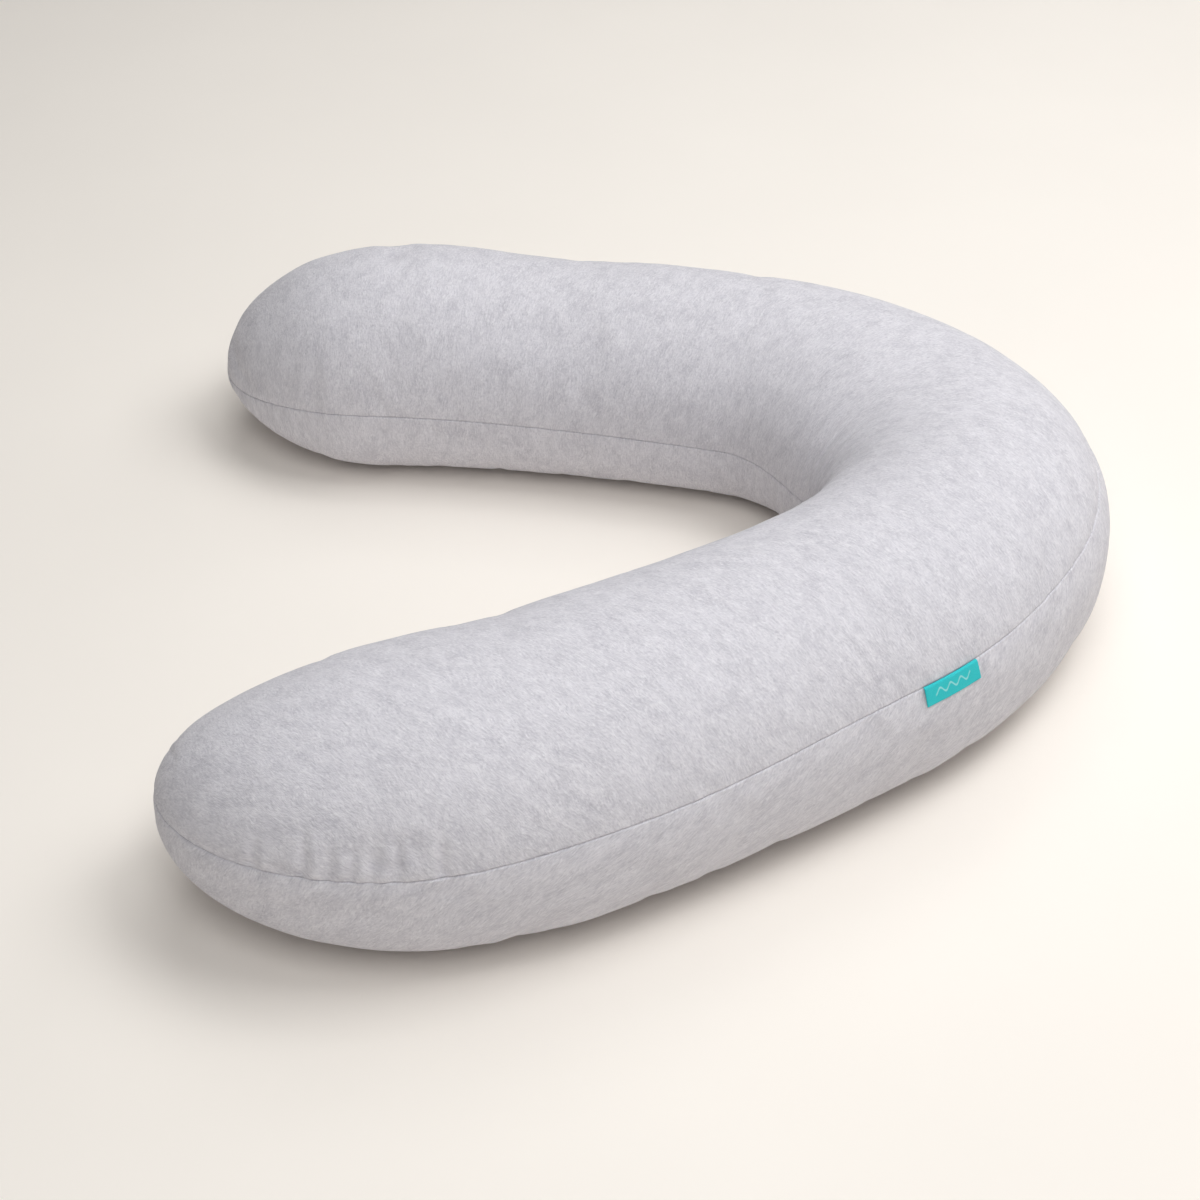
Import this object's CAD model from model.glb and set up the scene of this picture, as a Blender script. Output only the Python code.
"""Looks of the nursing pillow: jersey cover, label, zip, liner and studio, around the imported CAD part.

Lengths are millimetres until they go into a mesh.  A place on the roll is (s, angle): the
distance along the centre line from the near tip, and degrees round the section, 0 at the
outer widest line, 90 on top and 180 at the inner widest line.
"""

import math

import bmesh
import bpy
import numpy as np
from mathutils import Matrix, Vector, noise


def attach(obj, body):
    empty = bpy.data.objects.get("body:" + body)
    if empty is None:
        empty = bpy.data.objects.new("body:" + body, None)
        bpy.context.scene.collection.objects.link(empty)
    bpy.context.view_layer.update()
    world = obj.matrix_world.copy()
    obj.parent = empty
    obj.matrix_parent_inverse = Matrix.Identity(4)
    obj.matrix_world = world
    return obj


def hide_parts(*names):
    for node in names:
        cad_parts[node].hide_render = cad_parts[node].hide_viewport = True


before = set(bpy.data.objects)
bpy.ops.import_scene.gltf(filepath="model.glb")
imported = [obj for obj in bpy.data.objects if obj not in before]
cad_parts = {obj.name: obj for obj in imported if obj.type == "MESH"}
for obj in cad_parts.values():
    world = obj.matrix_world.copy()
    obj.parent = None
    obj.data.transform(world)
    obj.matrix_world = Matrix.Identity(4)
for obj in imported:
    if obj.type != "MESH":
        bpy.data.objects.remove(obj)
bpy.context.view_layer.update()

MM = 0.001

# ---- the roll, as the CAD has it ---------------------------------------------------------

START = (-399.2, -294.9)
START_HEADING = -25.6
STRETCH_LENGTHS = np.array([160.0, 178.0, 264.0, 176.0, 205.0, 192.0, 416.0, 113.0])
STRETCH_TURNS = np.radians([30.0, 23.0, 7.0, 26.5, 66.5, 38.0, 14.5, 18.0])
HALF_WIDTHS = np.array([144.0, 141.0, 140.0, 134.0, 133.0, 137.0, 117.0, 117.0, 118.0])
HEIGHTS = np.array([206.0, 206.0, 209.0, 206.0, 202.0, 190.0, 193.0, 193.0, 193.0])
OUTER_SEAM = np.array([12.0, 12.0, 16.0, 22.0, 25.0, 27.0, 27.0, 27.0, 27.0])
INNER_SEAM = np.array([11.0, 11.0, 11.0, 11.0, 11.0, 8.0, 4.0, -1.0, -2.5])
WIDEST_LEVEL = 0.46
LOWER_EXPONENT = 3.1
NEAR_DOME, FAR_DOME = 256.0, 161.0
NEAR_TIP_LEVEL, FAR_TIP_LEVEL = 98.0, 71.0
FLOOR_SINK = 1.0    # the section runs this far under the floor, where the cover is cut flat

ENDS = np.concatenate([[0.0], np.cumsum(STRETCH_LENGTHS)])
LENGTH = float(ENDS[-1])
CURVATURES = STRETCH_TURNS / STRETCH_LENGTHS


def stretch_starts():
    x, y, heading = START[0], START[1], math.radians(START_HEADING)
    starts = []
    for turn, curvature in zip(STRETCH_TURNS, CURVATURES):
        starts.append((x, y, heading))
        x += (math.sin(heading + turn) - math.sin(heading)) / curvature
        y -= (math.cos(heading + turn) - math.cos(heading)) / curvature
        heading += turn
    return np.array(starts)


STARTS = stretch_starts()


def stretch_of(s):
    return np.clip(np.searchsorted(ENDS, s, side="right") - 1, 0, len(STRETCH_LENGTHS) - 1)


def centre_line(s):
    """Place and heading at the distances s."""
    i = stretch_of(s)
    x, y, heading = np.moveaxis(STARTS[i], -1, 0)
    here = heading + CURVATURES[i] * (s - ENDS[i])
    x = x + (np.sin(here) - np.sin(heading)) / CURVATURES[i]
    y = y - (np.cos(here) - np.cos(heading)) / CURVATURES[i]
    return x, y, here


def ease(t):
    t = np.clip(t, 0.0, 1.0)
    return t * t * (3.0 - 2.0 * t)


def bell(x, middle, breadth):
    return np.exp(-((x - middle) / breadth) ** 2)


def along(values, s):
    """The values at the ends of the stretches, eased from one to the next."""
    i = stretch_of(s)
    return values[i] + (values[i + 1] - values[i]) * ease((s - ENDS[i]) / STRETCH_LENGTHS[i])


def outer_seam(s):
    return along(OUTER_SEAM, s)


def inner_seam(s):
    return 180.0 + along(INNER_SEAM, s)


def surface(s, angle, depth=0.0):
    """Points of the roll at a depth below the cover's outside; s and angle are arrays."""
    s, angle = np.broadcast_arrays(np.asarray(s, float), np.asarray(angle, float))
    x, y, heading = centre_line(s)
    near = np.clip(1.0 - (s - depth) / (NEAR_DOME - depth), 0.0, 1.0)
    far = np.clip(1.0 - (LENGTH - s - depth) / (FAR_DOME - depth), 0.0, 1.0)
    size = np.sqrt(1.0 - near ** 2) * np.sqrt(1.0 - far ** 2)
    height = along(HEIGHTS, s)
    widest = WIDEST_LEVEL * height
    level = widest + (NEAR_TIP_LEVEL - widest) * near ** 2 + (FAR_TIP_LEVEL - widest) * far ** 2
    across, up = np.cos(np.radians(angle)), np.sin(np.radians(angle))
    round_off = (np.abs(across) ** LOWER_EXPONENT + np.abs(up) ** LOWER_EXPONENT) ** (-1 / LOWER_EXPONENT)
    reach = np.where(up < 0.0, round_off, 1.0)
    rise = np.where(up < 0.0, level - depth + FLOOR_SINK * (depth <= 0.0), height - widest - depth)
    lateral = (along(HALF_WIDTHS, s) - depth) * size * reach * across
    z = level + rise * size * reach * up
    return np.stack([x + lateral * np.sin(heading), y - lateral * np.cos(heading), z], -1)


def unit(v):
    return v / np.maximum(np.linalg.norm(v, axis=-1, keepdims=True), 1e-9)


def normals(s, angle):
    """Outward unit normals of the roll."""
    s, angle = np.broadcast_arrays(np.asarray(s, float), np.asarray(angle, float))
    low, high = np.clip(s - 0.2, 0.0, LENGTH), np.clip(s + 0.2, 0.0, LENGTH)
    forward = surface(high, angle) - surface(low, angle)
    inside = np.clip(s, 0.02, LENGTH - 0.02)
    round_it = surface(inside, angle + 0.2) - surface(inside, angle - 0.2)
    return unit(np.cross(forward, round_it))


def per_degree(s, angle):
    """Millimetres of the surface to a degree of the section."""
    return np.linalg.norm(surface(s, angle + 0.5) - surface(s, angle - 0.5), axis=-1)


# ---- helpers for meshes ------------------------------------------------------------------

def mesh_object(name, points, faces, uvs=None):
    mesh = bpy.data.meshes.new(name)
    mesh.from_pydata((np.asarray(points) * MM).tolist(), [], faces)
    mesh.validate()
    if uvs is not None:
        layer = mesh.uv_layers.new(name="cloth")
        index = np.zeros(len(mesh.loops), np.int32)
        mesh.loops.foreach_get("vertex_index", index)
        layer.data.foreach_set("uv", (np.asarray(uvs, np.float32) * MM)[index].ravel())
    mesh.shade_smooth()
    obj = bpy.data.objects.new(name, mesh)
    bpy.context.scene.collection.objects.link(obj)
    return obj


def lattice(rows, columns, first=0, flip=False):
    """Quads of a grid of rows x columns vertices that starts at vertex first."""
    index = first + np.arange(rows * columns).reshape(rows, columns)
    quads = np.stack([index[:-1, :-1], index[1:, :-1], index[1:, 1:], index[:-1, 1:]], -1).reshape(-1, 4)
    return (quads[:, ::-1] if flip else quads).tolist()


def strip(first, second, flip=False):
    """Quads between two equally long runs of vertices."""
    quads = [(first[i], first[i + 1], second[i + 1], second[i]) for i in range(len(first) - 1)]
    return [q[::-1] for q in quads] if flip else quads


def slab(name, outer, inner, uv):
    """A closed piece of cloth from the grid of its outside and the grid of its inside."""
    rows, columns = outer.shape[:2]
    count = rows * columns
    faces = lattice(rows, columns) + lattice(rows, columns, count, flip=True)
    index = np.arange(count).reshape(rows, columns)
    for edge, flip in ((index[:, 0], True), (index[:, -1], False), (index[0], False), (index[-1], True)):
        faces += strip(edge.tolist(), (edge + count).tolist(), flip)
    points = np.concatenate([outer.reshape(-1, 3), inner.reshape(-1, 3)])
    obj = mesh_object(name, points, faces, np.concatenate([uv.reshape(-1, 2)] * 2))
    weld(obj)
    return obj


def weld(obj, gap=2e-6):
    bm = bmesh.new()
    bm.from_mesh(obj.data)
    bmesh.ops.remove_doubles(bm, verts=bm.verts, dist=gap)
    bmesh.ops.dissolve_degenerate(bm, edges=bm.edges, dist=gap)
    bmesh.ops.recalc_face_normals(bm, faces=bm.faces)
    bm.to_mesh(obj.data)
    bm.free()
    obj.data.shade_smooth()


THREAD_ASIDE = [0.31, 0.22, 0.92]    # turns a thread's rings; a thread exactly along it would have none
THREAD_END = 0.45                    # a thread's radius at its ends, as a share


def tubes(name, paths, radius, sides=6):
    """Round threads along runs of points, all in one mesh."""
    points, faces = [], []
    for path in paths:
        path = np.asarray(path, float)
        ahead = unit(np.gradient(path, axis=0))
        first = unit(np.cross(ahead, THREAD_ASIDE))
        second = np.cross(ahead, first)
        turn = np.linspace(0.0, 2 * math.pi, sides, endpoint=False)
        taper = np.ones(len(path))
        taper[0] = taper[-1] = THREAD_END
        ring = np.cos(turn)[None, :, None] * first[:, None] + np.sin(turn)[None, :, None] * second[:, None]
        rings = path[:, None] + ring * (radius * taper)[:, None, None]
        start = len(points)
        points.extend(rings.reshape(-1, 3).tolist())
        for r in range(len(path) - 1):
            for k in range(sides):
                a, b = start + r * sides + k, start + r * sides + (k + 1) % sides
                faces.append((a, b, b + sides, a + sides))
        faces.append(tuple(start + k for k in reversed(range(sides))))
        faces.append(tuple(start + (len(path) - 1) * sides + k for k in range(sides)))
    return mesh_object(name, points, faces)


def noise_at(points, size, seed=0.0):
    """Smooth noise, about -1 to 1, with bumps of the given size."""
    shift = Vector((seed * 7.31, seed * 3.17, seed * 5.53))
    flat = np.asarray(points, float).reshape(-1, 3) / size
    values = [noise.noise(Vector(p) + shift) for p in flat.tolist()]
    return np.array(values).reshape(np.asarray(points).shape[:-1])


# ---- the cover's shape -------------------------------------------------------------------

ZIP_LOW, ZIP_HIGH = 1209.4, 1530.8    # the zip's window along the centre line
ZIP_HALF = 5.0
EDGE_STEPS = np.array([0.0, 0.3, 0.65, 1.0, 1.4, 2.0, 2.9, 4.2, 6.0, 8.5, 11.5, 15.0])
SEAM_ROOM = 0.22                      # the share of a panel that the close columns at one seam may take
COVER_THICKNESS = 1.2
WINDOW_STEP = 0.5


def cover_rows(step=3.2, near=190, far=80):
    """Distances of the cloth's rows; near and far count those over the two domes."""
    theta = np.linspace(0.0, math.pi / 2, near)
    first = NEAR_DOME * (1.0 - np.cos(theta))
    theta = np.linspace(0.0, math.pi / 2, far)
    last = LENGTH - FAR_DOME + FAR_DOME * np.sin(theta)
    count = round((LENGTH - FAR_DOME - NEAR_DOME) / step)
    middle = np.linspace(NEAR_DOME, LENGTH - FAR_DOME, count + 1)[1:-1]
    return np.concatenate([first, middle, last])


def window_rows(rows):
    """The rows with two close pairs more, at the ends of the zip's window."""
    extra = np.array([end + side * WINDOW_STEP for end in (ZIP_LOW, ZIP_HIGH) for side in (-1, 1)])
    keep = np.min(np.abs(rows[:, None] - extra[None, :]), axis=1) > 1.6 * WINDOW_STEP
    return np.sort(np.concatenate([rows[keep], extra]))


def zip_share(s):
    """1 in the zip's window, 0 elsewhere."""
    return ((s > ZIP_LOW) & (s < ZIP_HIGH)).astype(float)


def panel_angles(s, low, high, middle_columns, low_gap, high_gap):
    """Angles of a panel's columns: close together along both seams, even between them."""
    span = high - low
    room = SEAM_ROOM * span
    low_scale = np.minimum(1.0 / np.maximum(per_degree(s, low), 1e-6), room / EDGE_STEPS[-1])
    high_scale = np.minimum(1.0 / np.maximum(per_degree(s, high), 1e-6), room / EDGE_STEPS[-1])
    left = (low + low_gap * low_scale)[:, None] + EDGE_STEPS[None] * low_scale[:, None]
    right = (high - high_gap * high_scale)[:, None] - EDGE_STEPS[None, ::-1] * high_scale[:, None]
    t = np.linspace(0.0, 1.0, middle_columns + 2)[1:-1]
    centre = left[:, -1:] + (right[:, :1] - left[:, -1:]) * t[None]
    return np.concatenate([left, centre, right], axis=1)


def seam_distances(s, angles):
    """Millimetres from the outer and the inner seam, measured round the section."""
    wrapped = (angles + 180.0) % 360.0 - 180.0
    seam_o, seam_i = outer_seam(s)[:, None], inner_seam(s)[:, None]
    pace_o = np.maximum(per_degree(s, outer_seam(s)), 1e-6)[:, None]
    pace_i = np.maximum(per_degree(s, inner_seam(s)), 1e-6)[:, None]
    to_outer = (wrapped - seam_o) * pace_o
    to_inner = ((angles % 360.0) - seam_i) * pace_i
    return to_outer, to_inner


def seam_fold(x):
    """How the cloth turns in at a seam, at the distance x from it."""
    return -1.35 * np.clip(1.0 - x / 1.5, 0.0, 1.0) ** 1.6 - 0.55 * np.exp(-(x / 7.0) ** 2)


# the gathers over the near tip's seam: place along the centre line, depth, height
GATHERS = (
    (88.0, 1.1, 22.0), (101.0, 1.9, 30.0), (130.0, 3.0, 38.0), (145.0, 2.5, 30.0), (157.0, 2.2, 28.0),
    (171.0, 2.5, 34.0), (184.0, 2.8, 36.0), (212.0, 3.0, 38.0), (232.0, 1.3, 22.0),
)
GATHER_WIDTH, RIDGE_WIDTH, RIDGE_OFFSET, RIDGE_SHARE = 3.2, 3.6, 6.8, 0.45
GATHER_SLANT, GATHER_WANDER = 0.10, 2.6
PUCKER_HEIGHT, PUCKER_REACH = 0.34, 5.5
PUCKER_SIZE, WIDE_PUCKER_SIZE, WIDE_PUCKER_SHARE = 4.6, 9.5, 0.7
OUT_OF_STEP = 40.0
ZIP_RUN, ZIP_RUN_SOFT, TAPE_REACH = 22.0, 20.0, 22.0
BEND_PLACE, BEND_BREADTH = 872.0, 105.0
BEND_SIDE, BEND_SIDE_BREADTH = 152.0, 34.0    # degrees round the section
CREASE_HEIGHT, CREASE_PITCH, CREASE_WANDER = 0.75, 30.0, 7.0
FINE_CREASE_SHARE, FINE_CREASE_PITCH = 0.6, 17.5
LIP_HEIGHT, LIP_BREADTH, EDGE_DROP = 0.45, 4.6, 0.7
STITCH_LINE, STITCH_GROOVE, GROOVE_BREADTH = 2.45, 0.32, 0.55
SWELL_PLACE, SWELL_BREADTH, SWELL_HEIGHT = 1505.0, 52.0, 4.6
SLACK_PLACE, SLACK_BREADTH, SLACK_DEPTH = 1362.0, 58.0, 4.4
LUMP_HEIGHT, LUMP_SIZE = 1.5, 95.0
DENT_HEIGHT, DENT_SIZE = 0.5, 34.0
CALM_SHARE, CALM_REACH = 0.7, 16.0


def beside_zip(s):
    """1 along the zip, easing to 0 past both its ends."""
    return ease((s - ZIP_LOW + ZIP_RUN) / ZIP_RUN_SOFT) * ease((ZIP_HIGH + ZIP_RUN - s) / ZIP_RUN_SOFT)


def off_zip(s, far_o):
    """0 over the zip's tapes, 1 away from them."""
    return 1.0 - beside_zip(s) * np.exp(-(far_o / TAPE_REACH) ** 4)


def puckers(s, to_seam, seed):
    """Fine puckers that the overlock draws along a seam, out of step on its two sides."""
    line = np.stack([s, np.where(to_seam > 0.0, OUT_OF_STEP, 0.0), s * 0.0], -1)
    small = noise_at(line, PUCKER_SIZE, seed)
    small += WIDE_PUCKER_SHARE * noise_at(line, WIDE_PUCKER_SIZE, seed + 1.0)
    far = np.abs(to_seam)
    return PUCKER_HEIGHT * small * np.exp(-far / PUCKER_REACH) * (far > 0.2)


def gathers(s, to_outer, points):
    """Depth of the gathers over the seam at the near tip."""
    up_here = np.clip(to_outer, 0.0, None)
    slant = s - GATHER_SLANT * up_here + GATHER_WANDER * noise_at(points, 24.0, 5.0)
    total = 0.0
    for place, depth, tall in GATHERS:
        valley = bell(slant, place, GATHER_WIDTH)
        valley -= RIDGE_SHARE * bell(slant, place + RIDGE_OFFSET, RIDGE_WIDTH)
        above = np.clip(up_here - 0.35 * tall, 0.0, None)
        total = total + depth * valley * ease((up_here + 2.5) / 7.0) * bell(above, 0.0, 0.5 * tall)
    return total * (to_outer > 0.0)


def bend_creases(s, around, points):
    """Creases that run over the roll where it bends tightest."""
    warped = 2 * math.pi * (s + CREASE_WANDER * noise_at(points, 60.0, 6.0))
    crease = np.sin(warped / CREASE_PITCH) + FINE_CREASE_SHARE * np.sin(warped / FINE_CREASE_PITCH + 1.0)
    here = bell(s, BEND_PLACE, BEND_BREADTH) * bell(around, BEND_SIDE, BEND_SIDE_BREADTH)
    return CREASE_HEIGHT * crease * here


def zip_lips(s, from_edge):
    """The folded edges over the zip, each pressed down along its stitch line."""
    lip = LIP_HEIGHT * ease(from_edge / 0.9) * (1.0 - ease((from_edge - LIP_BREADTH) / 1.6))
    lip -= EDGE_DROP * np.clip(1.0 - from_edge / 0.8, 0.0, 1.0) ** 2
    lip -= STITCH_GROOVE * bell(from_edge, STITCH_LINE, GROOVE_BREADTH)
    return lip * zip_share(s) * (from_edge > -0.1)


def far_arm(s, to_outer, around):
    """The far arm swells at its tip and is slack behind it, above the outer seam only."""
    over = ease((to_outer - 16.0) / 50.0) * ease((165.0 - around) / 45.0)
    swell = SWELL_HEIGHT * bell(s, SWELL_PLACE, SWELL_BREADTH)
    return (swell - SLACK_DEPTH * bell(s, SLACK_PLACE, SLACK_BREADTH)) * over


def lumps(s, far_o, far_i, points):
    """Uneven stuffing, calmer along the seams and none over the zip's tapes."""
    uneven = LUMP_HEIGHT * noise_at(points, LUMP_SIZE, 7.0) + DENT_HEIGHT * noise_at(points, DENT_SIZE, 8.0)
    return uneven * (1.0 - CALM_SHARE * bell(np.minimum(far_o, far_i), 0.0, CALM_REACH)) * off_zip(s, far_o)


def relief(s, angles, points):
    """Height of the cloth over the plain roll, fading to none where it lies on the floor."""
    to_outer, to_inner = seam_distances(s, angles)
    far_o, far_i = np.abs(to_outer), np.abs(to_inner)
    s_grid = np.broadcast_to(s[:, None], angles.shape)
    around = angles % 360.0
    height = (seam_fold(far_o) + puckers(s_grid, to_outer, 1.0)) * (1.0 - beside_zip(s_grid))
    height += seam_fold(far_i) + puckers(s_grid, to_inner, 3.0)
    height -= gathers(s_grid, to_outer, points)
    height += bend_creases(s_grid, around, points)
    height += zip_lips(s_grid, far_o - ZIP_HALF)
    height += far_arm(s_grid, to_outer, around)
    height += lumps(s_grid, far_o, far_i, points)
    return height * ease((points[..., 2] - 1.0) / 16.0)


# how the fibres lean from the section towards the far tip, by distance along the centre line
TOP_LEAN = ((0.0, 0.85), (120.0, 0.85), (200.0, 0.62), (300.0, 0.48), (420.0, 0.35), (560.0, 0.3),
            (800.0, -0.28), (1300.0, -0.15), (1704.0, 0.0))
BOTTOM_LEAN = ((0.0, -0.3), (190.0, -0.45), (260.0, -1.0), (420.0, -1.3), (700.0, -0.5), (900.0, 0.0))
LEAN_BLEND = np.linspace(-40.0, 40.0, 9)    # the leans are averaged over this much of the roll
LINER_SHARE = 0.6                           # of the cover's relief shows in the liner
STUFFING_SHARE, STUFFING_DROP = 0.5, 0.8


def cloth_uv(s, angles, lean, zero_column):
    """Flat-cloth coordinates in millimetres; the fibres run round the section, on a lean."""
    crown = surface(s, 90.0)
    run = np.concatenate([[0.0], np.cumsum(np.linalg.norm(np.diff(crown, axis=0), axis=-1))])
    grid = surface(s[:, None], angles)
    steps = np.linalg.norm(np.diff(grid, axis=1), axis=-1)
    round_it = np.concatenate([np.zeros((len(s), 1)), np.cumsum(steps, axis=1)], axis=1)
    round_it -= round_it[:, zero_column][:, None]
    places, values = np.array(lean).T
    slant = np.arctan(np.mean([np.interp(s + shift, places, values) for shift in LEAN_BLEND], axis=0))
    cosine = np.cos(slant)
    advance = np.concatenate([[0.0], np.cumsum(np.diff(run) * (cosine[1:] + cosine[:-1]) / 2)])
    return np.stack([advance[:, None] + np.sin(slant)[:, None] * round_it, round_it / cosine[:, None]], -1)


def panel(name, low, high, middle_columns, low_gap, high_gap, rows,
          depth=0.0, thickness=COVER_THICKNESS, share=1.0):
    """One of the two cloth panels of the cover, or of the liner at its depth."""
    angles = panel_angles(rows, low, high, middle_columns, low_gap, high_gap)
    base = surface(rows[:, None], angles, depth)
    out = normals(rows[:, None], angles)
    off_seam = np.abs(seam_distances(rows, angles)[0])
    lift = (relief(rows, angles, base) + settled(rows, angles) * off_zip(rows[:, None], off_seam)) * share
    outer = base + out * lift[..., None]
    inner = outer - out * thickness
    for grid, level in ((outer, depth), (inner, depth + thickness)):
        grid[..., 2] = np.clip(grid[..., 2], level, None)
        grid[0] = grid[0].mean(axis=0)
        grid[-1] = grid[-1].mean(axis=0)
    if low[0] < 0.0:    # the bottom panel, whose angles run below 0
        uv = cloth_uv(rows, angles, BOTTOM_LEAN, -1)
    else:
        uv = cloth_uv(rows, angles, TOP_LEAN, angles.shape[1] // 2)
    return slab(name, outer, inner, uv)


# ---- cloth simulation --------------------------------------------------------------------

SIM_COLUMNS = 96
SIM_FRAMES = 22
SIM_CAP = 2.5
SIM_SHARE, SIM_SPARE_SHARE = 0.35, 0.45    # of the lift that is kept, and more where cloth is spare
BROAD_REACH, BROAD_PASSES = 6, 3           # rows and columns either way that are averaged


def sim_skin():
    """A closed, even skin over the roll, with one vertex at each tip."""
    rows = cover_rows(8.5, 34, 24)[1:-1]
    angles = np.arange(SIM_COLUMNS) * 360.0 / SIM_COLUMNS
    grid = surface(rows[:, None], angles[None])
    index = np.arange(grid.shape[0] * SIM_COLUMNS).reshape(grid.shape[:2])
    ahead = np.roll(index, -1, axis=1)
    faces = np.stack([index[:-1], index[1:], ahead[1:], ahead[:-1]], -1).reshape(-1, 4).tolist()
    tips = [surface(0.0, 0.0), surface(LENGTH, 0.0)]
    first = index.size
    faces += [(first, index[0, c], ahead[0, c]) for c in range(SIM_COLUMNS)]
    faces += [(first + 1, ahead[-1, c], index[-1, c]) for c in range(SIM_COLUMNS)]
    obj = mesh_object("sim_skin", np.concatenate([grid.reshape(-1, 3), tips]), faces)
    return obj, rows, angles, grid


def simulate():
    """Blows the cover up from inside, with cloth to spare at the bend and the near tip.

    Gives the rows and the lift in millimetres of the skin's points, without its broad part.
    """
    obj, rows, angles, grid = sim_skin()
    s_grid, a_grid = np.broadcast_arrays(rows[:, None], angles[None])
    to_outer, to_inner = seam_distances(rows, a_grid)
    off_seam = np.minimum(np.abs(to_outer), np.abs(to_inner))
    held = np.clip(np.maximum(1.0 - off_seam / 7.0, 1.0 - grid[..., 2] / 9.0), 0.0, 1.0)
    bend = bell(s_grid, 880.0, 120.0) * bell(a_grid, 150.0, 40.0)
    tip = bell(s_grid, 160.0, 60.0) * bell(a_grid, 32.0, 22.0)
    spare = np.clip(np.maximum(bend, tip), 0.0, 1.0)
    for name, weights in (("held", held), ("spare", spare)):
        group = obj.vertex_groups.new(name=name)
        for i, weight in enumerate(weights.ravel().tolist()):
            if weight > 0.01:
                group.add([i], weight, "REPLACE")
    tip_vertex = grid.shape[0] * SIM_COLUMNS
    obj.vertex_groups["held"].add([tip_vertex, tip_vertex + 1], 1.0, "REPLACE")
    cloth = obj.modifiers.new("cloth", "CLOTH")
    cloth.settings.quality = 5
    cloth.settings.mass = 0.2
    cloth.settings.tension_stiffness = 18.0
    cloth.settings.compression_stiffness = 18.0
    cloth.settings.shear_stiffness = 6.0
    cloth.settings.bending_stiffness = 0.12
    cloth.settings.use_pressure = True
    cloth.settings.uniform_pressure_force = 4.0
    cloth.settings.vertex_group_mass = "held"
    cloth.settings.vertex_group_shrink = "spare"
    cloth.settings.shrink_min = -0.012
    cloth.settings.shrink_max = -0.075
    cloth.settings.effector_weights.gravity = 0.0
    cloth.collision_settings.use_collision = False
    cloth.collision_settings.use_self_collision = False
    for number in range(1, SIM_FRAMES + 1):
        bpy.context.scene.frame_set(number)
    shaped = obj.evaluated_get(bpy.context.evaluated_depsgraph_get())
    moved = np.zeros(len(shaped.data.vertices) * 3, np.float32)
    shaped.data.vertices.foreach_get("co", moved)
    moved = moved.reshape(-1, 3)[:-2].reshape(grid.shape) / MM
    bpy.context.scene.frame_set(1)
    bpy.data.objects.remove(obj)
    lift = np.sum((moved - grid) * normals(s_grid, a_grid), axis=-1)
    # the roll's own size is the CAD's, so only what is smaller than a hand's breadth stays
    broad = lift
    window = 2 * BROAD_REACH + 1
    for _ in range(BROAD_PASSES):
        padded = np.pad(broad, ((BROAD_REACH, BROAD_REACH), (0, 0)), mode="edge")
        broad = np.mean([padded[k:k + len(rows)] for k in range(window)], axis=0)
        broad = np.mean([np.roll(broad, k - BROAD_REACH, axis=1) for k in range(window)], axis=0)
    tight = SIM_SHARE + SIM_SPARE_SHARE * spare
    return rows, np.clip((lift - broad) * tight, -SIM_CAP, SIM_CAP)


SIM_ROWS, SIM_LIFT = simulate()


def cubic_weights(t):
    """Shares of four neighbours in a row, for a smooth curve through the middle two."""
    return [((-0.5 * t + 1.0) * t - 0.5) * t, (1.5 * t - 2.5) * t * t + 1.0,
            ((-1.5 * t + 2.0) * t + 0.5) * t, (0.5 * t - 0.5) * t * t]


def settled(rows, angles):
    """The simulated lift at places on the roll, smoothly between the simulated points."""
    row_at = np.interp(rows, SIM_ROWS, np.arange(len(SIM_ROWS)))[:, None] + 0.0 * angles
    column_at = (angles % 360.0) * SIM_COLUMNS / 360.0
    row0, column0 = np.floor(row_at).astype(int), np.floor(column_at).astype(int)
    tr, tc = row_at - row0, column_at - column0
    total = 0.0
    for i, row_share in enumerate(cubic_weights(tr)):
        at_row = np.clip(row0 + i - 1, 0, len(SIM_ROWS) - 1)
        for j, column_share in enumerate(cubic_weights(tc)):
            total = total + row_share * column_share * SIM_LIFT[at_row, (column0 + j - 1) % SIM_COLUMNS]
    return total


outer_rows = window_rows(cover_rows())
zip_gap = zip_share(outer_rows) * ZIP_HALF
top = panel("jersey_top_panel", outer_seam(outer_rows), inner_seam(outer_rows), 64,
            zip_gap, 0.0 * outer_rows, outer_rows)
bottom = panel("jersey_bottom_panel", inner_seam(outer_rows) - 360.0, outer_seam(outer_rows), 84,
               0.0 * outer_rows, zip_gap, outer_rows)

# ---- liner and stuffing ------------------------------------------------------------------

LINER_DEPTH, LINER_THICKNESS = 4.4, 0.6
STUFFING_DEPTH = 5.4
inner_rows = cover_rows(7.0, 48, 32)
no_gap = 0.0 * inner_rows
liner_top = panel("liner_top", outer_seam(inner_rows), inner_seam(inner_rows), 40, no_gap, no_gap,
                  inner_rows, LINER_DEPTH, LINER_THICKNESS, LINER_SHARE)
liner_bottom = panel("liner_bottom", inner_seam(inner_rows) - 360.0, outer_seam(inner_rows), 50, no_gap,
                     no_gap, inner_rows, LINER_DEPTH, LINER_THICKNESS, LINER_SHARE)


def stuffing_body():
    """The fill as one closed lump in the liner's shape."""
    angles = np.arange(0.0, 360.0, 5.0)
    rows = inner_rows[1:-1]
    base = surface(rows[:, None], angles[None], STUFFING_DEPTH)
    grid_angles = np.broadcast_to(angles[None], base.shape[:2])
    lift = STUFFING_SHARE * relief(rows, grid_angles, base) - STUFFING_DROP
    grid = base + normals(rows[:, None], angles[None]) * lift[..., None]
    index = np.arange(grid.shape[0] * grid.shape[1]).reshape(grid.shape[:2])
    ahead = np.roll(index, -1, axis=1)
    faces = np.stack([index[:-1], index[1:], ahead[1:], ahead[:-1]], -1).reshape(-1, 4).tolist()
    faces += [index[0].tolist(), index[-1, ::-1].tolist()]
    return mesh_object("stuffing", grid.reshape(-1, 3), faces)


stuffing = stuffing_body()

# ---- side label --------------------------------------------------------------------------

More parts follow.
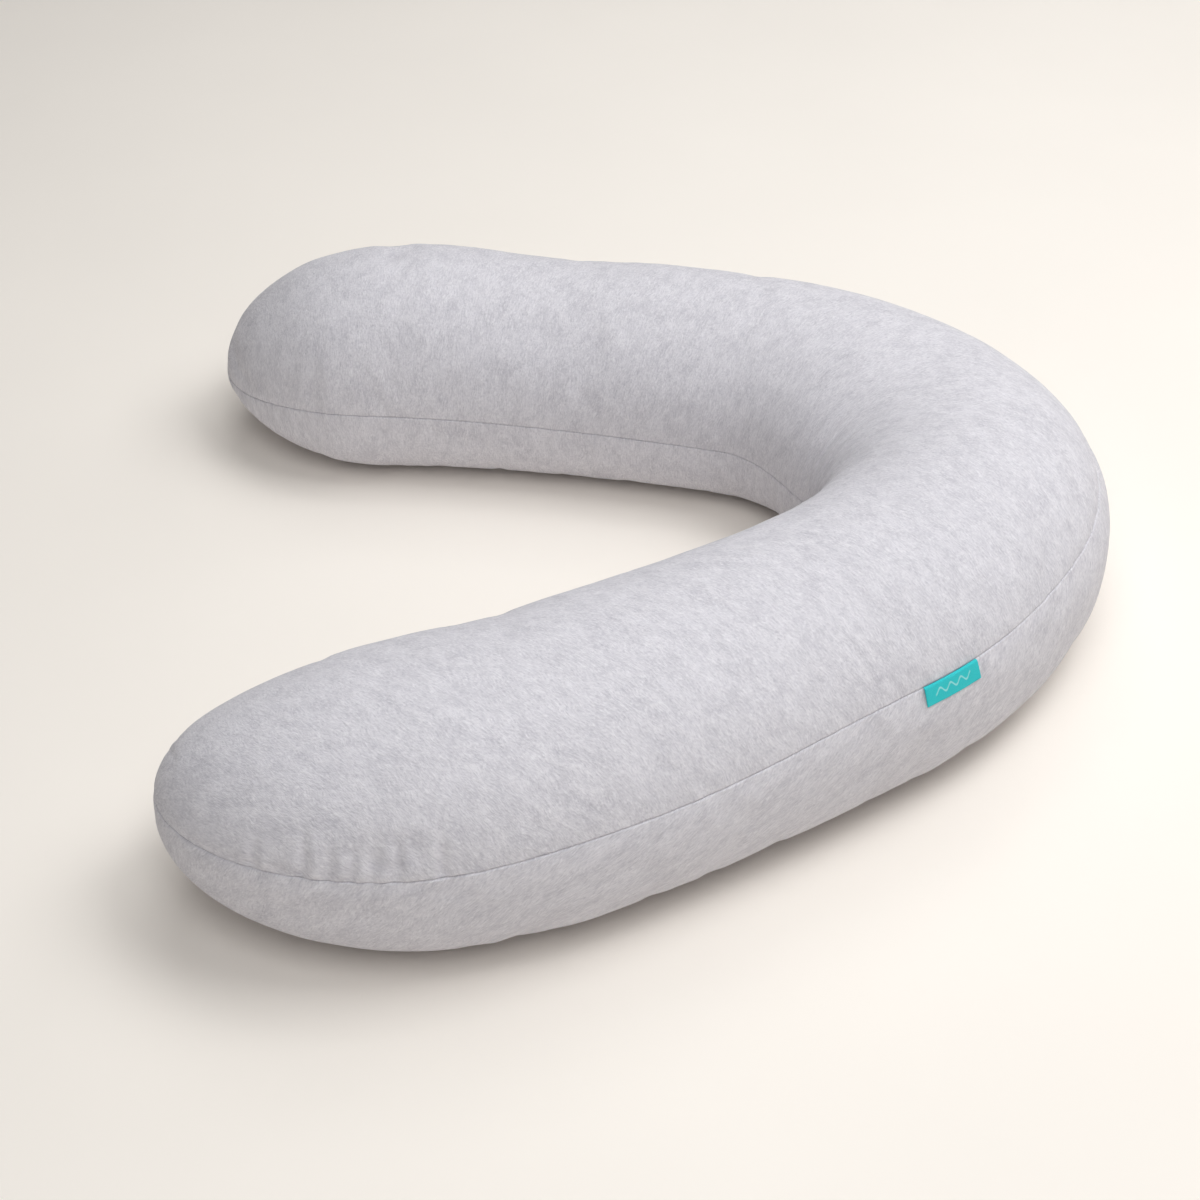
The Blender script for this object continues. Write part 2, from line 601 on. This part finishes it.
LABEL_CENTRE, LABEL_WIDTH, LABEL_DROP = 623.0, 46.0, 17.0
LABEL_PLY = 0.38
LABEL_FRONT, LABEL_BACK = 1.02, 0.52    # how far the two plies stand off the cover
# the plain wave woven into the label, in metres
WAVE_PITCH, WAVE_HEIGHT, WAVE_LINE, WAVE_REACH = 0.0088, 0.0024, 0.0012, 0.0155


def label_loop():
    """A woven ribbon folded in two, its cut ends caught in the seam and its fold hanging down."""
    across = np.linspace(-LABEL_WIDTH / 2, LABEL_WIDTH / 2, 57)
    down = np.concatenate([[-0.6, 0.2], np.linspace(1.0, LABEL_DROP - 0.5, 20)])
    fold_turn = np.radians(np.linspace(-75.0, 75.0, 7))
    middle, radius = (LABEL_FRONT + LABEL_BACK) / 2, (LABEL_FRONT - LABEL_BACK) / 2
    path = [(d, LABEL_FRONT - 1.9 * (d < 0.0) - 0.5 * (0.0 <= d < 0.5)) for d in down]
    path += [(LABEL_DROP - 0.3 + radius * math.cos(a), middle - radius * math.sin(a)) for a in fold_turn]
    path += [(d, LABEL_BACK - 1.6 * (d < 0.0) - 0.3 * (0.0 <= d < 0.5)) for d in down[::-1]]
    path = np.array(path)
    s = LABEL_CENTRE + across
    seam = outer_seam(s)
    pace = per_degree(s, seam)
    d, out = path[:, 0][None], path[:, 1][None]
    # a woven edge is never quite straight, and the free corners stand off a little
    t = across[:, None] / (LABEL_WIDTH / 2)
    sag = 0.22 * noise_at(np.stack([across, across * 0.0, across * 0.0], -1), 9.0, 21.0)[:, None]
    d = d + sag * (d / LABEL_DROP) ** 2
    curl = 0.35 * np.abs(t) ** 6 + 0.12 * np.sin(3.1 * t + 0.6)
    out = out + curl * np.clip(d / LABEL_DROP, 0.0, 1.0) ** 2
    steps = np.arange(len(path)) * 1.0
    ragged = 0.14 * noise_at(np.stack([steps, steps, steps * 0.0], -1), 1.7, 22.0)
    s_all = s[:, None] + ragged[None] * np.sign(t) * (np.abs(t) > 0.97)
    angle = seam[:, None] - d / pace[:, None]
    place = surface(s_all, angle) + normals(s_all, angle) * out[..., None]
    along_path = np.gradient(place, axis=1)
    across_path = np.gradient(place, axis=0)
    side = unit(np.cross(along_path, across_path))
    run = np.concatenate([[0.0], np.cumsum(np.linalg.norm(np.diff(path, axis=0), axis=-1))])
    uv = np.stack(np.broadcast_arrays(across[:, None], run[None] - 0.6), -1)
    return slab("side_label_loop", place + side * LABEL_PLY / 2, place - side * LABEL_PLY / 2, uv)


label = label_loop()

# ---- zip ---------------------------------------------------------------------------------

ZIP_STRETCH = 6
ZIP_START_ANGLE, ZIP_SWEEP = 1.2, 11.2
COIL_CROSSING, COIL_REACH, COIL_BOTTOM, COIL_TOP = 0.65, 2.2, -1.3, 0.6
COIL_WIRE = 0.28
TOOTH_PITCH = 1.5
SLIDER_LENGTH, POST_LENGTH, STOP_LENGTH = 9.0, 1.4, 2.0
CHAIN_POST_GAP, FIRST_STOP_MARGIN, STOP_GAP, CHAIN_END_MARGIN = 0.4, 3.0, 0.5, 8.0


ZIP_X, ZIP_Y, ZIP_HEADING = STARTS[ZIP_STRETCH]
ZIP_RADIUS = 1.0 / CURVATURES[ZIP_STRETCH]
ZIP_CENTRE = np.array([ZIP_X - ZIP_RADIUS * math.sin(ZIP_HEADING),
                       ZIP_Y + ZIP_RADIUS * math.cos(ZIP_HEADING)])


def zip_point(angle, side, out):
    """A point at an angle along the zip's arc; side is upward round the roll, out is outward."""
    half_width, height = HALF_WIDTHS[ZIP_STRETCH], HEIGHTS[ZIP_STRETCH]
    rise = height * (1.0 - WIDEST_LEVEL)
    seam = math.radians(OUTER_SEAM[ZIP_STRETCH])
    reach = ZIP_RADIUS + half_width * math.cos(seam)
    level = WIDEST_LEVEL * height + rise * math.sin(seam)
    slope = math.atan2(math.sin(seam) / rise, math.cos(seam) / half_width)
    bend = ((half_width * math.sin(seam)) ** 2 + (rise * math.cos(seam)) ** 2) ** 1.5 / (half_width * rise)
    turn = slope + side / bend
    place_reach = reach - bend * math.cos(slope) + (bend + out) * np.cos(turn)
    place_level = level - bend * math.sin(slope) + (bend + out) * np.sin(turn)
    direction = ZIP_HEADING - math.pi / 2 + np.radians(angle)
    return np.stack(np.broadcast_arrays(ZIP_CENTRE[0] + place_reach * np.cos(direction),
                                        ZIP_CENTRE[1] + place_reach * np.sin(direction), place_level), -1)


SEAM_REACH = float(np.linalg.norm(zip_point(0.0, 0.0, 0.0)[:2] - ZIP_CENTRE))
PER_MM = math.degrees(1.0 / SEAM_REACH)
SLIDER_ANGLE = ZIP_START_ANGLE + PER_MM * (FIRST_STOP_MARGIN + STOP_LENGTH + STOP_GAP + SLIDER_LENGTH / 2)
CHAIN_START = SLIDER_ANGLE - PER_MM * (SLIDER_LENGTH / 2 - POST_LENGTH - CHAIN_POST_GAP)
CHAIN_END = ZIP_START_ANGLE + ZIP_SWEEP - PER_MM * CHAIN_END_MARGIN


def coil(name, sign):
    """One nylon coil: its turns cross the middle between the turns of the other."""
    turns = int((CHAIN_END - CHAIN_START) / (PER_MM * TOOTH_PITCH))
    t = np.linspace(0.0, turns, turns * 14 + 1)
    angle = CHAIN_START + PER_MM * TOOTH_PITCH * (t + (0.25 if sign > 0 else 0.75))
    half = (COIL_REACH + COIL_CROSSING) / 2 - COIL_WIRE
    tall = (COIL_TOP - COIL_BOTTOM) / 2 - COIL_WIRE
    turn = 2 * math.pi * t
    side = sign * ((COIL_REACH - COIL_CROSSING) / 2 - half * np.cos(turn))
    out = (COIL_TOP + COIL_BOTTOM) / 2 + tall * np.sin(turn)
    # the wire comes back along the tape's edge, so a turn isn't a plain screw
    lean = 0.18 * PER_MM * TOOTH_PITCH * np.sin(turn)
    return tubes(name, [zip_point(angle + lean, side, out)], COIL_WIRE, 7)


def zip_stitches(name, sign, first_side=7.45, length=2.7, pitch=3.3):
    """The run of lockstitches that holds the folded edge on the tape."""
    count = int(math.radians(ZIP_SWEEP) * SEAM_REACH / pitch)
    t = np.linspace(0.0, 1.0, 7)
    paths = []
    for i in range(count):
        angle = ZIP_START_ANGLE + PER_MM * (pitch * i + length * t)
        out = 0.55 - 1.0 * (2 * t - 1.0) ** 6
        wobble = 0.08 * noise.noise(Vector((i * 0.7, 0.0, 3.0 + sign)))
        paths.append(zip_point(angle, sign * (first_side + wobble), out))
    return tubes(name, paths, 0.2, 7)


coil_upper = coil("coil_upper", 1.0)
coil_lower = coil("coil_lower", -1.0)
stitches_upper = zip_stitches("topstitch_upper", 1.0)
stitches_lower = zip_stitches("topstitch_lower", -1.0)

# ---- threads inside the cover ------------------------------------------------------------

def overlock_path(seam, start, end, pitch=4.0, half=2.2):
    """A looper thread that zigzags over the seam allowance, under the cover."""
    s = np.arange(start, end, pitch / 4)
    beat = np.arange(len(s))
    swing = np.array([0.0, 1.0, 0.0, -1.0])[beat % 4] * half
    deep = np.array([3.75, 3.45, 3.75, 3.45])[beat % 4]
    angle = seam(s) + swing / np.maximum(per_degree(s, seam(s)), 0.3)
    return surface(s, angle) - normals(s, angle) * deep[:, None]


overlock = tubes("overlock_thread", [
    overlock_path(outer_seam, 30.0, ZIP_LOW - 8.0),
    overlock_path(outer_seam, ZIP_HIGH + 8.0, LENGTH - 30.0),
    overlock_path(inner_seam, 30.0, LENGTH - 30.0),
], 0.22, 5)


def whip_stitch(s):
    """One hand stitch across the gap that the liner was filled through."""
    swing = np.linspace(-3.0, 3.0, 9)
    at = np.full(9, s) + 0.15 * swing
    angle = outer_seam(at) + swing / per_degree(at, outer_seam(at))
    return surface(at, angle) - normals(at, angle) * (3.35 + 0.7 * (swing / 3.0) ** 6)[:, None]


CLOSING_START, CLOSING_PITCH, CLOSING_COUNT = 1560.0, 6.0, 16
closing = tubes("closing_stitches",
                [whip_stitch(CLOSING_START + CLOSING_PITCH * i) for i in range(CLOSING_COUNT)], 0.3, 6)

# ---- studio ------------------------------------------------------------------------------

CAMERA_TARGET = Vector((-0.0460, 0.0468, 0.0))
CAMERA_DISTANCE = 2.3821
CAMERA_PITCH = 0.669
SENSOR = 36.0
FOCAL_LENGTH = 75.26

camera_data = bpy.data.cameras.new("camera")
camera_data.sensor_width = SENSOR
camera_data.lens = FOCAL_LENGTH
camera = bpy.data.objects.new("camera", camera_data)
bpy.context.scene.collection.objects.link(camera)
away = Vector((0.0, -math.cos(CAMERA_PITCH), math.sin(CAMERA_PITCH)))
camera.location = CAMERA_TARGET + away * CAMERA_DISTANCE
camera.rotation_euler = (math.pi / 2 - CAMERA_PITCH, 0.0, 0.0)
bpy.context.scene.camera = camera

LIGHT_DISTANCE, LIGHT_SIZE = 3.2, 1.8
LIGHT_AIM = Vector((0.0, 0.0, 0.0))
WORLD_STRENGTH = 0.10
FLOOR_REACH = 40000.0
GLOW_START, GLOW_FULL, GLOW_STRENGTH = 1.7, 4.6, 0.62    # metres, metres, emission


def studio_light(name, azimuth, elevation, power):
    """A square soft light; azimuth and elevation are degrees, from +X and from the floor."""
    data = bpy.data.lights.new(name, "AREA")
    data.shape = "RECTANGLE"
    data.size = data.size_y = LIGHT_SIZE
    data.energy = power
    turn, climb = math.radians(azimuth), math.radians(elevation)
    flat = math.cos(climb) * LIGHT_DISTANCE
    place = Vector((flat * math.cos(turn), flat * math.sin(turn), LIGHT_DISTANCE * math.sin(climb)))
    lamp = bpy.data.objects.new(name, data)
    lamp.location = place
    lamp.rotation_euler = (LIGHT_AIM - place).to_track_quat("-Z", "Y").to_euler()
    bpy.context.scene.collection.objects.link(lamp)


studio_light("key_right", 4.0, 60.0, 38.0)
studio_light("key_front", -94.0, 58.0, 30.0)
studio_light("front_low", -85.0, 30.0, 4.0)
studio_light("rim_right", 45.0, 30.0, 13.0)
studio_light("back_top", 90.0, 60.0, 20.0)
studio_light("overhead", 0.0, 76.0, 13.0)

world = bpy.data.worlds.new("studio")
bpy.context.scene.world = world
world.use_nodes = True
world.node_tree.nodes["Background"].inputs["Color"].default_value = (1.0, 1.0, 1.0, 1.0)
world.node_tree.nodes["Background"].inputs["Strength"].default_value = WORLD_STRENGTH
bpy.context.scene.view_settings.view_transform = "Standard"

floor = mesh_object(
    "floor",
    [(x * FLOOR_REACH, y * FLOOR_REACH, 0.0) for x, y in ((-1, -1), (1, -1), (1, 1), (-1, 1))],
    [(0, 1, 2, 3)],
)


# ---- materials ---------------------------------------------------------------------------

class Nodes:
    """Short hand for one material's node tree."""

    def __init__(self, name):
        self.material = bpy.data.materials.new(name)
        self.material.use_nodes = True
        self.tree = self.material.node_tree
        self.shader = self.tree.nodes["Principled BSDF"]

    def add(self, kind, inputs=None, **settings):
        node = self.tree.nodes.new("ShaderNode" + kind)
        for key, value in settings.items():
            setattr(node, key, value)
        for key, value in (inputs or {}).items():
            self.put(node.inputs[key], value)
        return node

    def put(self, socket, value):
        if isinstance(value, bpy.types.NodeSocket):
            self.tree.links.new(value, socket)
        elif isinstance(value, bpy.types.Node):
            self.tree.links.new(value.outputs[0], socket)
        else:
            socket.default_value = value

    def set(self, **values):
        for key, value in values.items():
            self.put(self.shader.inputs[key.replace("_", " ")], value)

    def math(self, operation, a, b=0.0):
        node = self.add("Math", operation=operation)
        self.put(node.inputs[0], a)
        self.put(node.inputs[1], b)
        return node.outputs[0]

    def scaled(self, source, scale, location=(0.0, 0.0, 0.0)):
        node = self.add("Mapping", {"Vector": source, "Scale": scale, "Location": location})
        return node.outputs[0]

    def noise(self, vector, scale=1.0, detail=2.0, roughness=0.5, output="Fac"):
        node = self.add("TexNoise", {"Vector": vector, "Scale": scale, "Detail": detail,
                                     "Roughness": roughness})
        return node.outputs[output]

    def between(self, value, low, high, to_low=0.0, to_high=1.0):
        node = self.add("MapRange", {"Value": value, "From Min": low, "From Max": high,
                                     "To Min": to_low, "To Max": to_high})
        return node.outputs[0]

    def mix(self, factor, a, b):
        node = self.add("Mix", data_type="RGBA")
        # the node's colour sockets come after its number and vector ones
        self.put(node.inputs[0], factor)
        self.put(node.inputs[6], a)
        self.put(node.inputs[7], b)
        return node.outputs[2]

    def bump(self, height, distance, strength):
        node = self.add("Bump", {"Height": height, "Distance": distance, "Strength": strength})
        self.put(self.shader.inputs["Normal"], node.outputs[0])


def colour(r, g, b):
    """Linear colour from screen values of 0 to 255."""
    def linear(c):
        c /= 255.0
        return c / 12.92 if c <= 0.04045 else ((c + 0.055) / 1.055) ** 2.4
    return (linear(r), linear(g), linear(b), 1.0)


def jersey():
    """Light grey melange single jersey: pale and dark fibres drawn out round the section."""
    n = Nodes("cover_jersey")
    uv = n.add("UVMap", uv_map="cloth").outputs[0]
    # the fibres wander a little
    drift = n.noise(uv, 34.0, 2.0, 0.5, "Color")
    drift = n.add("VectorMath", {0: drift, 1: (0.5, 0.5, 0.5)}, operation="SUBTRACT").outputs[0]
    drift = n.add("VectorMath", {0: drift, "Scale": 0.011}, operation="SCALE").outputs[0]
    wander = n.add("VectorMath", {0: uv, 1: drift}, operation="ADD").outputs[0]
    long_streaks = n.noise(n.scaled(wander, (580.0, 140.0, 1.0)), 1.0, 3.0, 0.66)
    fine_streaks = n.noise(n.scaled(wander, (1100.0, 250.0, 1.0), (3.1, 7.7, 0.0)), 1.0, 2.0, 0.6)
    mottle = n.noise(n.scaled(wander, (1.0, 0.45, 1.0)), 120.0, 3.0, 0.62)
    clouds = n.noise(uv, 22.0, 2.0, 0.5)
    fuzz = n.noise(uv, 430.0, 2.0, 0.6)
    patchy = n.noise(n.scaled(wander, (1.0, 0.6, 1.0), (1.9, 4.3, 0.0)), 64.0, 2.0, 0.55)
    base = n.mix(n.between(mottle, 0.30, 0.70), colour(200, 198, 205), colour(224, 222, 227))
    for pattern, start, full, strength, tint in (
        (patchy, 0.40, 0.66, 0.36, colour(232, 230, 236)),
        (patchy, 0.50, 0.30, 0.26, colour(192, 190, 199)),
        (fuzz, 0.52, 0.72, 0.36, colour(240, 238, 243)),
        (fuzz, 0.48, 0.30, 0.32, colour(180, 178, 188)),
        (clouds, 0.35, 0.65, 0.30, colour(222, 220, 226)),
        (long_streaks, 0.53, 0.70, 0.46, colour(247, 246, 250)),
        (long_streaks, 0.46, 0.30, 0.40, colour(172, 170, 181)),
        (fine_streaks, 0.56, 0.74, 0.48, colour(249, 248, 251)),
        (fine_streaks, 0.44, 0.28, 0.40, colour(174, 172, 183)),
    ):
        base = n.mix(n.math("MULTIPLY", n.between(pattern, start, full), strength), base, tint)
    n.set(Base_Color=base, Roughness=n.between(mottle, 0.3, 0.7, 0.86, 0.96))
    n.shader.inputs["Specular IOR Level"].default_value = 0.25
    n.shader.inputs["Sheen Weight"].default_value = 0.12
    n.shader.inputs["Sheen Roughness"].default_value = 0.5
    # knitted wales under the fibres
    wales = n.add("TexWave", {"Vector": uv, "Scale": 410.0, "Distortion": 1.5, "Detail": 1.0,
                              "Detail Scale": 0.6}, bands_direction="X").outputs["Fac"]
    height = n.math("MULTIPLY", long_streaks, 0.7)
    for pattern, share in ((fine_streaks, 0.6), (fuzz, 0.7), (mottle, 1.2), (wales, 0.12)):
        height = n.math("ADD", height, n.math("MULTIPLY", pattern, share))
    n.bump(height, 0.0009, 0.5)
    return n.material


def woven(name, light, dark, pitch, rough=0.8, uv=None, bump=0.0002, sheen=0.1):
    """A plain weave of threads at the given pitch in metres; gives the Nodes, not the material."""
    n = Nodes(name)
    place = n.add("UVMap", uv_map=uv).outputs[0] if uv else n.add("TexCoord").outputs["Object"]
    scale = 0.5 / pitch
    warp = n.add("TexWave", {"Vector": place, "Scale": scale, "Distortion": 0.4}, bands_direction="X")
    weft = n.add("TexWave", {"Vector": place, "Scale": scale, "Distortion": 0.4}, bands_direction="Y")
    weave = n.math("MULTIPLY", warp.outputs["Fac"], weft.outputs["Fac"])
    worn = n.noise(place, 60.0, 3.0, 0.6)
    share = n.math("ADD", n.math("MULTIPLY", weave, 0.7), n.math("MULTIPLY", worn, 0.5))
    n.set(Base_Color=n.mix(share, dark, light),
          Roughness=n.between(worn, 0.3, 0.7, rough - 0.06, rough + 0.06))
    n.shader.inputs["Sheen Weight"].default_value = sheen
    n.bump(weave, bump, 0.6)
    return n


def label_cloth():
    """Turquoise damask with a plain pale wave along its middle."""
    n = woven("label_weave", colour(52, 222, 226), colour(34, 200, 206), 0.00042, 0.75, "cloth",
              bump=0.00015, sheen=0.02)
    uv = n.add("SeparateXYZ", {0: n.add("UVMap", uv_map="cloth").outputs[0]})
    x, y = uv.outputs[0], uv.outputs[1]
    wave = n.math("MULTIPLY", n.math("SINE", n.math("MULTIPLY", x, 2 * math.pi / WAVE_PITCH)), WAVE_HEIGHT)
    off = n.math("ABSOLUTE", n.math("SUBTRACT", n.math("SUBTRACT", y, LABEL_DROP * MM / 2), wave))
    line = n.between(off, WAVE_LINE, WAVE_LINE * 0.55)
    ends = n.between(n.math("ABSOLUTE", x), WAVE_REACH, WAVE_REACH - 0.001)
    motif = n.math("MULTIPLY", n.math("MULTIPLY", line, ends), 0.8)
    plain = n.shader.inputs["Base Color"].links[0].from_socket
    n.set(Base_Color=n.mix(motif, plain, colour(170, 238, 239)))
    return n.material


def satin():
    """Fine smooth white weave for the care label."""
    return woven("care_label_satin", colour(246, 245, 242), colour(226, 224, 220), 0.0003, 0.42,
                 bump=0.00006).material


def moulded(name, pale, dark, rough, metallic=0.0, grain=900.0, coat=0.0):
    """Lacquer, nylon or metal with fine grain and scuffs on its high places."""
    n = Nodes(name)
    place = n.add("TexCoord").outputs["Object"]
    fine = n.noise(place, grain, 3.0, 0.6)
    scuff = n.noise(place, grain / 7.0, 4.0, 0.7)
    shade = n.mix(n.between(scuff, 0.52, 0.72), pale, dark)
    n.set(Base_Color=shade, Roughness=n.between(scuff, 0.3, 0.75, rough - 0.08, rough + 0.16))
    n.shader.inputs["Metallic"].default_value = metallic
    n.shader.inputs["Coat Weight"].default_value = coat
    n.bump(fine, 0.00004, 0.5)
    return n.material


def thread_yarn(name, pale, dark):
    """Spun thread, twisted."""
    n = Nodes(name)
    place = n.add("TexCoord").outputs["Object"]
    ply = n.add("TexWave", {"Vector": place, "Scale": 900.0, "Distortion": 2.0, "Detail": 1.0},
                bands_direction="DIAGONAL").outputs["Fac"]
    fuzz = n.noise(place, 700.0, 3.0, 0.6)
    share = n.math("ADD", n.math("MULTIPLY", ply, 0.6), n.math("MULTIPLY", fuzz, 0.4))
    n.set(Base_Color=n.mix(share, dark, pale), Roughness=n.between(fuzz, 0.3, 0.7, 0.6, 0.75))
    n.shader.inputs["Sheen Weight"].default_value = 0.2
    n.bump(ply, 0.0001, 0.6)
    return n.material


def beads():
    """Small round filling beads pressed together."""
    n = Nodes("filling_beads")
    place = n.add("TexCoord").outputs["Object"]
    cells = n.add("TexVoronoi", {"Vector": place, "Scale": 260.0})
    near = cells.outputs["Distance"]
    tint = n.noise(place, 90.0, 2.0, 0.5)
    n.set(Base_Color=n.mix(n.between(near, 0.25, 0.6), colour(248, 248, 246), colour(198, 197, 194)),
          Roughness=n.between(tint, 0.3, 0.7, 0.5, 0.65))
    n.bump(n.math("SUBTRACT", 1.0, near), 0.0012, 0.8)
    return n.material


def floor_paint():
    """Warm near-white paint; past the pool of light it glows a little, so that it stays pale."""
    n = Nodes("floor_paint")
    place = n.add("TexCoord").outputs["Object"]
    grain = n.noise(place, 3.0, 3.0, 0.5)
    n.set(Base_Color=n.mix(n.between(grain, 0.3, 0.7), colour(252, 246, 238), colour(254, 248, 240)),
          Roughness=n.between(grain, 0.3, 0.7, 0.7, 0.78))
    n.shader.inputs["Specular IOR Level"].default_value = 0.2
    out_from_middle = n.add("VectorMath", {0: place}, operation="LENGTH").outputs["Value"]
    n.set(Emission_Strength=n.between(out_from_middle, GLOW_START, GLOW_FULL, 0.0, GLOW_STRENGTH))
    n.shader.inputs["Emission Color"].default_value = (1.0, 0.965, 0.915, 1.0)
    return n.material


JERSEY = jersey()
LINER = woven("liner_cotton", colour(240, 238, 233), colour(221, 219, 214), 0.0006, 0.85, "cloth").material
TAPE = woven("zip_tape", colour(206, 204, 209), colour(176, 174, 181), 0.0006, 0.7).material
THREAD = thread_yarn("seam_thread", colour(214, 212, 217), colour(170, 168, 176))
COIL = moulded("zip_coil", colour(200, 198, 203), colour(186, 184, 190), 0.38)
METAL = moulded("zip_stop_metal", colour(206, 206, 208), colour(150, 150, 154), 0.3, metallic=1.0)
ENAMEL = moulded("zip_slider_enamel", colour(212, 210, 215), colour(188, 186, 192), 0.3, coat=0.4)

for piece, material in (
    (top, JERSEY), (bottom, JERSEY), (label, label_cloth()), (coil_upper, COIL), (coil_lower, COIL),
    (stitches_upper, THREAD), (stitches_lower, THREAD), (overlock, THREAD), (closing, THREAD),
    (liner_top, LINER), (liner_bottom, LINER), (stuffing, beads()), (floor, floor_paint()),
):
    piece.data.materials.clear()
    piece.data.materials.append(material)

for node, material in (
    ("care_label", satin()), ("zip_tape_upper", TAPE), ("zip_tape_lower", TAPE),
    ("zip_top_stops", METAL), ("zip_bottom_stop", METAL),
    ("zip_slider", ENAMEL), ("zip_pull_tab", ENAMEL),
):
    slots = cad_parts[node].data.materials
    slots.clear()
    slots.append(material)

# ---- what stands for what ----------------------------------------------------------------

for piece, slot_name, stood_for in (
    (top, "cover_jersey", "cover_top_panel"),
    (bottom, "cover_jersey", "cover_bottom_panel"),
    (label, "label_weave", "side_label"),
    (coil_upper, "zip_coil", "zip_coil_upper"),
    (coil_lower, "zip_coil", "zip_coil_lower"),
    (stitches_upper, "seam_thread", "zip_stitching_upper"),
    (stitches_lower, "seam_thread", "zip_stitching_lower"),
    (overlock, "seam_thread", "cover_seam_thread"),
    (closing, "seam_thread", "liner_closing_stitches"),
    (liner_top, "liner_cotton", "liner_top_panel"),
    (liner_bottom, "liner_cotton", "liner_bottom_panel"),
    (stuffing, "filling_beads", "filling"),
):
    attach(piece, "pillow")
    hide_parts(stood_for)
